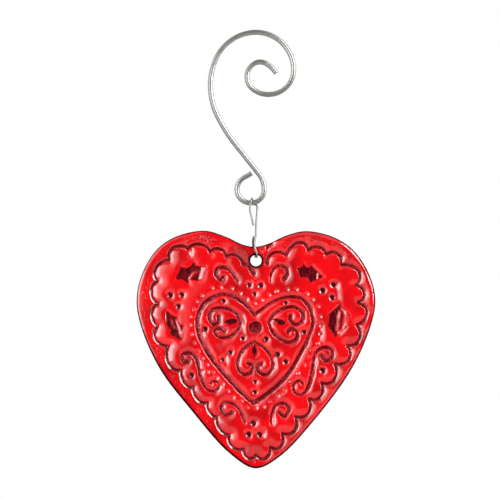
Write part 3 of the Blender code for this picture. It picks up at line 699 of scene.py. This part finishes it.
class Finish:
    """A material, a lamp or the world, whose nodes are added one by one."""

    def __init__(self, owner):
        owner.use_nodes = True
        self.material = owner
        self.nodes = owner.node_tree.nodes
        self.links = owner.node_tree.links
        kinds = ("Principled BSDF", "Background", "Emission")
        self.shader = next(self.nodes[kind] for kind in kinds if kind in self.nodes)

    def join(self, socket, value):
        """Sets a socket, or links it where the value comes from another node."""
        if isinstance(value, Tone):
            self.links.new(value.socket, socket)
        elif isinstance(value, tuple) and socket.type == "RGBA":
            socket.default_value = (*value, 1.0)
        else:
            socket.default_value = value

    def node(self, kind, settings=None, values=None, output=None):
        """Adds a node, sets it up and gives the output that is asked for, or its first live one."""
        made = self.nodes.new(kind)
        for setting, value in (settings or {}).items():
            if setting == "stops":
                ramp_points = made.color_ramp.elements
                for point, (place, grey) in zip(ramp_points, value[:2]):
                    point.position = place
                    point.color = (grey, grey, grey, 1.0)
                for place, grey in value[2:]:
                    ramp_points.new(place).color = (grey, grey, grey, 1.0)
            else:
                setattr(made, setting, value)
        for key, value in (values or {}).items():
            if isinstance(key, int):
                socket = made.inputs[key]
            else:
                socket = next(s for s in made.inputs if key in (s.identifier, s.name) and s.enabled)
            self.join(socket, value)
        live = [socket for socket in made.outputs if socket.enabled]
        wanted = next((socket for socket in live if output in (None, socket.name)), live[0])
        return Tone(self, wanted)

    def mask(self, name):
        return self.node("ShaderNodeAttribute", {"attribute_name": name}, output="Fac")

    def blend(self, share, first, second):
        values = {"Factor_Float": share, "A_Color": first, "B_Color": second}
        return self.node("ShaderNodeMix", {"data_type": "RGBA"}, values)

    def noise(self, scale, detail=2.0, rough=0.5, stretch=None):
        place = self.node("ShaderNodeTexCoord", output="Object")
        if stretch:
            place = self.node("ShaderNodeMapping", values={"Vector": place, "Scale": stretch})
        values = {"Vector": place, "Scale": scale, "Detail": detail, "Roughness": rough}
        return self.node("ShaderNodeTexNoise", values=values, output="Fac")

    def steps(self, value, *stops):
        """Spreads a value over stops of grey."""
        return self.node("ShaderNodeValToRGB", {"stops": stops}, {"Fac": value}, output="Color")

    def spread(self, value, low, high, start, end):
        """A smooth change from start to end while the value runs from low to high."""
        values = {0: value, 1: low, 2: high, 3: start, 4: end}
        return self.node("ShaderNodeMapRange", {"interpolation_type": "SMOOTHSTEP"}, values)

    def bump(self, height, strength, distance):
        values = {"Height": height, "Strength": strength, "Distance": distance}
        return self.node("ShaderNodeBump", values=values, output="Normal")

    def set(self, **values):
        for name, value in values.items():
            self.join(self.shader.inputs[name.replace("_", " ")], value)

    def over(self, share, **values):
        """Lays a second surface over the first one by a share."""
        first, self.shader = self.shader, self.nodes.new("ShaderNodeBsdfPrincipled")
        self.set(**values)
        both = self.nodes.new("ShaderNodeMixShader")
        self.join(both.inputs["Fac"], share)
        self.links.new(first.outputs["BSDF"], both.inputs[1])
        self.links.new(self.shader.outputs["BSDF"], both.inputs[2])
        self.links.new(both.outputs["Shader"], self.nodes["Material Output"].inputs["Surface"])


def red_glass():
    """Glossy red pressed glass."""
    glass = Finish(bpy.data.materials.new("pressed_red_glass"))
    pressed = glass.mask("pressed_glass")
    middle = glass.mask("floor_middle")
    frosted = glass.mask("frosted")
    leaf = glass.mask("leaf_floor")
    rim = glass.mask("rim_band")
    edge = glass.mask("edge_dark")
    side = glass.mask("side_wall")
    clouds = glass.noise(110.0, 4.0, 0.6)
    fading = glass.noise(240.0, 3.0)
    grain = glass.noise(1500.0, 3.0, 0.65)
    coarse_grain = glass.noise(1300.0, 3.0, 0.6)
    peel = glass.noise(2000.0, 2.0, 0.5)
    deep = glass.steps(clouds, (0.4, 0.0), (0.72, 1.0)) * (1 - side * 0.85)
    deep = deep.most(rim * glass.steps(peel, (0.38, 0.7), (0.50, 0.0)))
    red = glass.blend(deep, BRIGHT_RED, DEEP_RED)
    # Mauve grain in the middle of the dull floors: partly grain, partly a painted sheen in place of
    # their lost gloss
    grain_and_sheen = glass.steps(grain, (0.46, 0.0), (0.56, 1.0)) * middle * (0.68 - leaf * 0.5)
    grain_and_sheen = grain_and_sheen * glass.steps(fading, (0.38, 0.15), (0.62, 1.0))
    streaks = glass.noise(900.0, 3.0, 0.6, stretch=(1.0, 1.0, 0.35))
    leaf_tone = glass.blend(glass.steps(streaks, (0.45, 0.0), (0.65, 1.0)), LEAF_DARK, LEAF_RED)
    floor = glass.blend(leaf, FLOOR_MAROON, leaf_tone)
    floor = glass.blend(grain_and_sheen, floor, FLOOR_MAUVE)
    # The painted sheen on the side of lines that faces the left lamp, broken by the grain
    frosted = frosted * glass.steps(grain, (0.44, 0.0), (0.56, 0.95))
    floor = glass.blend(frosted, floor, PAINTED_SHEEN_LILAC)
    colour = glass.blend(pressed, red, floor)
    # Painted shade over the edge, the hole's rim and the side wall
    colour = glass.blend(edge, colour, glass.blend(side, EDGE_SHADE_BLACK, SIDE_SHADE_RED))
    ripple = glass.noise(420.0, 3.0, 0.5)
    specks = glass.steps(peel, (0.58, 0.0), (0.72, 1.0))
    specks = specks * glass.steps(fading, (0.40, 0.2), (0.60, 1.0))
    height = ripple * (0.12 + rim * 0.13 + (1 - side) * 0.08)
    height = height + rim * specks * 0.8 + leaf * coarse_grain * 0.6
    glass.set(
        Base_Color=colour,
        Roughness=0.09 + leaf * 0.06,
        Normal=glass.bump(height, 1.0, 0.00010),
        IOR=1.5,
        Specular_IOR_Level=1.0,
    )
    dull = (edge * (1 - side)).most(middle * 0.93)
    glass.over(dull, Base_Color=colour, Roughness=0.6, Specular_IOR_Level=0.0)
    return glass.material


heart_mesh.materials.append(red_glass())
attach(pressed_heart, "heart")
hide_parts("glass_heart")

# Scroll hook: one length of satin steel wire, nearly 2 mm thick, bent round pegs in one plane from
# the tip of its curl to the cut end of its lower loop. Drawing the wire leaves fine lines along it.
# Its colour is painted with a brighter streak either side of its front and of its back, as a
# painted reflection of the white sweep beside the dark camera side.
HOOK_WIRE_DIAMETER = 0.0018
# The wire's colour for its front and back and for its streaks either side: painted shade and
# painted reflection, each over the drawn lines' range
HOOK_SHADED_FRONT = ((0.18, 0.18, 0.172), (0.36, 0.36, 0.345))
HOOK_LIT_SIDES = ((0.44, 0.44, 0.41), (0.62, 0.62, 0.58))
CUT_END_ROUND = 0.00016
CURL_TIP_HEADING = math.radians(121.0)
# Each bend is a radius and an angle in degrees; None and a length are the straight shank.
HOOK_BENDS = [
    (0.0095, 30.0), (0.0043, 85.0), (0.0056, 88.0), (0.0087, 129.0), (0.0130, 87.0),
    (0.0152, 69.0), (0.0240, 47.5), (0.0560, 12.0), (None, 0.0127), (0.0087, -38.0),
    (0.0047, -90.5), (0.0047, -153.5), (0.0180, 9.0),
]
WIRE_SIDES = 32
hook_radius = HOOK_WIRE_DIAMETER / 2


def smooth_wire(bm):
    """Turns the faces of a wire outwards and smooths all but its cut ends."""
    bmesh.ops.recalc_face_normals(bm, faces=bm.faces)
    for face in bm.faces:
        face.smooth = len(face.verts) < 5


hook_bm = bmesh.new()
streak = hook_bm.verts.layers.float.new("drawn_line")
ring = bmesh.ops.create_circle(hook_bm, segments=WIRE_SIDES, radius=hook_radius)["verts"]
tilt = Matrix.Rotation(-CURL_TIP_HEADING, 4, "Y") @ Matrix.Rotation(math.radians(90.0), 4, "Y")
bmesh.ops.transform(hook_bm, matrix=tilt, verts=ring)
for number, vert in enumerate(ring):
    vert[streak] = noise.noise(Vector((number * 0.3, 3.0, 0.0))) * 0.5 + 0.5
tip_face = hook_bm.faces.new(ring)
section = list(tip_face.edges)
x, z, heading = 0.0, 0.0, CURL_TIP_HEADING
top = (0.0, -1.0)
for radius, turn in HOOK_BENDS:
    if radius is None:
        raised = bmesh.ops.extrude_edge_only(hook_bm, edges=section)["geom"]
        moved = [item for item in raised if isinstance(item, bmesh.types.BMVert)]
        run = (turn * math.cos(heading), 0.0, turn * math.sin(heading))
        bmesh.ops.translate(hook_bm, vec=run, verts=moved)
        section = [item for item in raised if isinstance(item, bmesh.types.BMEdge)]
        section = [edge for edge in section if edge.verts[0] in moved and edge.verts[1] in moved]
        x, z = x + run[0], z + run[2]
    else:
        sweep = math.radians(turn)
        side = math.copysign(1.0, sweep)
        centre_x = x - side * radius * math.sin(heading)
        centre_z = z + side * radius * math.cos(heading)
        swept = bmesh.ops.spin(
            hook_bm, geom=section, cent=(centre_x, 0.0, centre_z), axis=(0.0, -1.0, 0.0),
            angle=sweep, steps=max(4, math.ceil(abs(turn) / 3)), use_duplicate=False
        )["geom_last"]
        section = [item for item in swept if isinstance(item, bmesh.types.BMEdge)]
        heading += sweep
        x = centre_x + side * radius * math.sin(heading)
        z = centre_z - side * radius * math.cos(heading)
    if z > top[1]:
        top = (x, z)
end_face = bmesh.ops.contextual_create(hook_bm, geom=section)["faces"][0]
cut_edges = list(tip_face.edges) + list(end_face.edges)
bmesh.ops.bevel(
    hook_bm, geom=cut_edges, offset=CUT_END_ROUND, offset_type="OFFSET", segments=3, profile=0.5,
    affect="EDGES", material=-1
)
bmesh.ops.translate(hook_bm, vec=(-top[0], 0.0, hook_radius - top[1]), verts=hook_bm.verts)
smooth_wire(hook_bm)
hook_mesh = mesh_from(hook_bm, "bent_hook")
bent_hook = put_up("bent_hook", hook_mesh)


def satin_steel():
    """Drawn steel wire, satin; painted reflection streaks follow how far it turns off its front."""
    steel = Finish(bpy.data.materials.new("satin_steel_wire"))
    line = steel.mask("drawn_line")
    cloud = steel.noise(260.0, 3.0)
    tone = steel.steps(line * 0.9 + cloud * 0.1, (0.3, 0.0), (0.7, 1.0))
    place = steel.node("ShaderNodeTexCoord", output="Object")
    across = steel.node("ShaderNodeSeparateXYZ", values={"Vector": place}, output="Y")
    off_front = 1 - across.most(across * -1) * (1 / hook_radius)
    # Painted reflection: dark where the wire faces front or back, light in a band either side
    painted_reflection = steel.steps(off_front, (0.02, 0.0), (0.14, 1.0), (0.40, 1.0), (0.62, 0.15))
    skin = steel.blend(tone, *HOOK_SHADED_FRONT)
    steel.set(
        Base_Color=steel.blend(painted_reflection, skin, steel.blend(tone, *HOOK_LIT_SIDES)),
        Metallic=1.0,
        Roughness=0.36 + cloud * 0.02,
    )
    return steel.material


hook_mesh.materials.append(satin_steel())
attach(bent_hook, "hook")
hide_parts("scroll_hook")

# Wire link: a hand-bent length of thin steel wire. From its free end it goes over the hook's lower
# loop, down to the front of the glass, through the drilled hole and up behind the glass, where its
# other end is turned in against the strand.
LINK_WIRE_DIAMETER = 0.0007
LINK_GREYS = ((0.17, 0.185, 0.16), (0.44, 0.46, 0.42))
LINK_RED_SHADE = (0.10, 0.004, 0.006)
SHADE_TOP = -0.0685
SHADE_FRONT = 0.0008
LINK_DROP = 0.01865
LINK_FREE_END = 0.0078
LINK_CLOSE_ABOVE_NOTCH = 0.0034
RUNNING_GAP = 0.0003
LOOP_X = -0.001876
LOOP_Z = -0.058056
FREE_END_WAVES = [(1.0, -0.0009), (0.6, -0.0016), (0.3, -0.0021)]
OVER_HOOK_SLANT = 0.0008
STRAND_WAVES = [
    (0.05, 0.0003), (0.15, 0.0004), (0.34, 0.0001), (0.60, -0.0001), (0.70, -0.00048),
    (0.79, -0.00045), (0.88, -0.00012),
]
BACK_WAVES = [
    (0.30, -0.0007, 1.0), (0.45, -0.0009, 1.0), (0.62, -0.0010, 0.98), (0.80, -0.0010, 0.85),
    (0.93, -0.0009, 0.5), (1.0, -0.0009, 0.15),
]
EYE_BEND = [(0.5, 0.0), (0.76, 0.2), (0.93, 1.3), (1.0, 2.6)]
EYE_SLANT = 0.0003
link_radius = LINK_WIRE_DIAMETER / 2
past_hook = hook_radius + link_radius + RUNNING_GAP
past_glass = half_thick + link_radius + RUNNING_GAP
eye_z = LOOP_Z - LINK_DROP
notch_rise = link_radius + RUNNING_GAP - HOLE_RADIUS + HOLE_BELOW_NOTCH
strand_starts = STRAND_WAVES[0][0]
strand_crossed = 1.0 - notch_rise / LINK_DROP
link_route = []
for share, x in FREE_END_WAVES:
    link_route.append((x, -past_hook, LOOP_Z - share * LINK_FREE_END))
for angle in (0.0, math.pi / 4, math.pi / 2, math.pi * 3 / 4, math.pi):
    x = LOOP_X + OVER_HOOK_SLANT * angle / math.pi
    link_route.append((x, -past_hook * math.cos(angle), LOOP_Z + past_hook * math.sin(angle)))
for share, x in STRAND_WAVES:
    crossed = min(1.0, (share - strand_starts) / (strand_crossed - strand_starts))
    y = past_hook - (past_hook + past_glass) * crossed
    link_route.append((x, y, LOOP_Z - share * LINK_DROP))
for out, rise in reversed(EYE_BEND):
    link_route.append((EYE_SLANT * out, -out * past_glass, eye_z + rise * HOLE_CHAMFER))
for out, rise in EYE_BEND:
    link_route.append((-EYE_SLANT * out, out * past_glass, eye_z + rise * HOLE_CHAMFER))
for share, x, out in BACK_WAVES:
    rise = share * (notch_rise + LINK_CLOSE_ABOVE_NOTCH)
    link_route.append((x, out * past_glass, eye_z + rise))
link_curve = bpy.data.curves.new("bent_link", "CURVE")
link_curve.dimensions = "3D"
link_curve.bevel_depth = link_radius
link_curve.bevel_resolution = 6
link_curve.use_fill_caps = True
link_line = smooth_line(link_route, 10)
spline = link_curve.splines.new("POLY")
spline.points.add(len(link_line) - 1)
for point, place in zip(spline.points, link_line):
    point.co = (*place, 1.0)
route_holder = put_up("link_route", link_curve)
bpy.context.view_layer.update()
evaluated = route_holder.evaluated_get(bpy.context.evaluated_depsgraph_get())
link_mesh = bpy.data.meshes.new_from_object(evaluated)
bpy.data.objects.remove(route_holder, do_unlink=True)
link_bm = bmesh.new()
link_bm.from_mesh(link_mesh)
bmesh.ops.remove_doubles(link_bm, verts=link_bm.verts, dist=1e-6)
smooth_wire(link_bm)
link_bm.to_mesh(link_mesh)
link_bm.free()
bent_link = put_up("bent_link", link_mesh)


def thin_steel():
    """Thin craft wire, a little duller than the hook, and shaded red behind the glass."""
    steel = Finish(bpy.data.materials.new("thin_steel_wire"))
    cloud = steel.noise(700.0, 3.0)
    place = steel.node("ShaderNodeTexCoord", output="Object")
    across = steel.node("ShaderNodeSeparateXYZ", values={"Vector": place}, output="Y")
    height = steel.node("ShaderNodeSeparateXYZ", values={"Vector": place}, output="Z")
    shaded = steel.steps((across - SHADE_FRONT) * 4000, (0.0, 0.0), (1.0, 1.0))
    shaded = shaded * steel.steps((SHADE_TOP - height) * 500, (0.0, 0.0), (1.0, 1.0))
    plain = steel.blend(cloud, *LINK_GREYS)
    steel.set(
        Base_Color=steel.blend(shaded, plain, LINK_RED_SHADE),
        Metallic=1.0,
        Roughness=0.34 + cloud * 0.12,
    )
    return steel.material


link_mesh.materials.clear()
link_mesh.materials.append(thin_steel())
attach(bent_link, "link")
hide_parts("wire_link")

# The studio: a white sweep all round and a pale floor well below the hanging part, which whitens
# outwards so that no far edge shows. A broad soft light stands left of the camera, a narrow bright
# one far to the right and a faint one behind.
PHOTO_SPAN = 0.1726
VIEW_X = -0.00207
VIEW_Z = -0.07434
LENS = 200.0
SENSOR_WIDTH = 36.0
FLOOR_Z = -0.30
FADING_STOPS = ((0.0, 0.0), (1.0, 0.0), (0.08, 0.7), (0.30, 1.0), (0.50, 0.85), (0.60, 0.30))
heart_middle = Vector((VIEW_X, 0.0, VIEW_Z))


def soft_light(name, azimuth, elevation, width, height, brightness, lean=0.0, fading=False):
    """A rectangular lamp, a metre from the heart; azimuth counts to the right of the camera.

    A leaning one has its top nearer the camera, and a fading one is bright over its far half and
    dies away towards the camera.
    """
    lamp = bpy.data.lights.new(name, "AREA")
    lamp.shape = "RECTANGLE"
    lamp.size = width
    lamp.size_y = height
    lamp.energy = brightness * math.pi * width * height
    if fading:
        glow = Finish(lamp)
        place = glow.node("ShaderNodeNewGeometry", output="Parametric")
        across = glow.node("ShaderNodeSeparateXYZ", values={"Vector": place}, output="X")
        glow.set(Color=glow.steps(across, *FADING_STOPS))
    holder = put_up(name, lamp)
    side, up = math.radians(azimuth), math.radians(elevation)
    away = Vector((math.sin(side) * math.cos(up), -math.cos(side) * math.cos(up), math.sin(up)))
    holder.location = heart_middle + away
    leaning = Matrix.Rotation(math.radians(lean), 3, "Z")
    holder.rotation_euler = (away.to_track_quat("Z", "Y").to_matrix() @ leaning).to_euler()


soft_light("left_softbox", -24.0, 4.0, 0.80, 0.58, 7.5, fading=True)
soft_light("right_strip", 54.0, 20.0, 0.26, 1.00, 12.0, lean=24.0)
soft_light("back_light", 205.0, 30.0, 0.60, 0.60, 3.0)

floor_bm = bmesh.new()
bmesh.ops.create_circle(floor_bm, cap_ends=True, segments=96, radius=1.2)
bmesh.ops.translate(floor_bm, vec=(0.0, 0.0, FLOOR_Z), verts=floor_bm.verts)
floor_mesh = mesh_from(floor_bm, "pale_floor")
pale_floor = put_up("pale_floor", floor_mesh)
floor_finish = Finish(bpy.data.materials.new("pale_floor"))
in_gloss = floor_finish.node("ShaderNodeLightPath", output="Is Glossy Ray")
to_camera = floor_finish.node("ShaderNodeLightPath", output="Is Camera Ray")
place = floor_finish.node("ShaderNodeTexCoord", output="Object")
out = floor_finish.node("ShaderNodeVectorMath", {"operation": "LENGTH"}, {0: place}, output="Value")
glow = to_camera * floor_finish.spread(out, 0.35, 0.9, 0.55, 1.0)
floor_finish.set(
    Base_Color=floor_finish.blend(in_gloss, (0.93, 0.93, 0.93), (0.50, 0.50, 0.50)),
    Roughness=0.9,
    Emission_Color=floor_finish.blend(glow, (0.0, 0.0, 0.0), (1.0, 1.0, 1.0)),
    Emission_Strength=1.0,
)
floor_mesh.materials.append(floor_finish.material)

world = bpy.data.worlds.new("white_sweep")
bpy.context.scene.world = world
sweep = Finish(world)
in_gloss = sweep.node("ShaderNodeLightPath", output="Is Glossy Ray")
to_camera = sweep.node("ShaderNodeLightPath", output="Is Camera Ray")
through_glass = sweep.node("ShaderNodeLightPath", output="Is Transmission Ray")
direction = sweep.node("ShaderNodeTexCoord", output="Generated")
backwards = sweep.node("ShaderNodeSeparateXYZ", values={"Vector": direction}, output="Y")
upwards = sweep.node("ShaderNodeSeparateXYZ", values={"Vector": direction}, output="Z")
around = sweep.spread(backwards, -0.9, 0.1, 0.035, 1.0)
around = around.most(sweep.spread(upwards, 0.3, 0.6, 0.0, 0.6))
reflected = around * sweep.spread(upwards, 0.75, 0.98, 1.0, 0.2)
seen = to_camera.most(through_glass)
sweep.set(
    Color=(1.0, 1.0, 1.0), Strength=seen.most(in_gloss * reflected + (1 - in_gloss) * 0.2)
)

lens = bpy.data.cameras.new("camera")
lens.sensor_width = SENSOR_WIDTH
lens.lens = LENS
lens.clip_start = 0.01
camera = put_up("camera", lens)
camera.location = (VIEW_X, -PHOTO_SPAN * LENS / SENSOR_WIDTH - 0.001, VIEW_Z)
camera.rotation_euler = (math.radians(90.0), 0.0, 0.0)
bpy.context.scene.camera = camera
bpy.context.scene.view_settings.view_transform = "Standard"

bpy.context.view_layer.update()
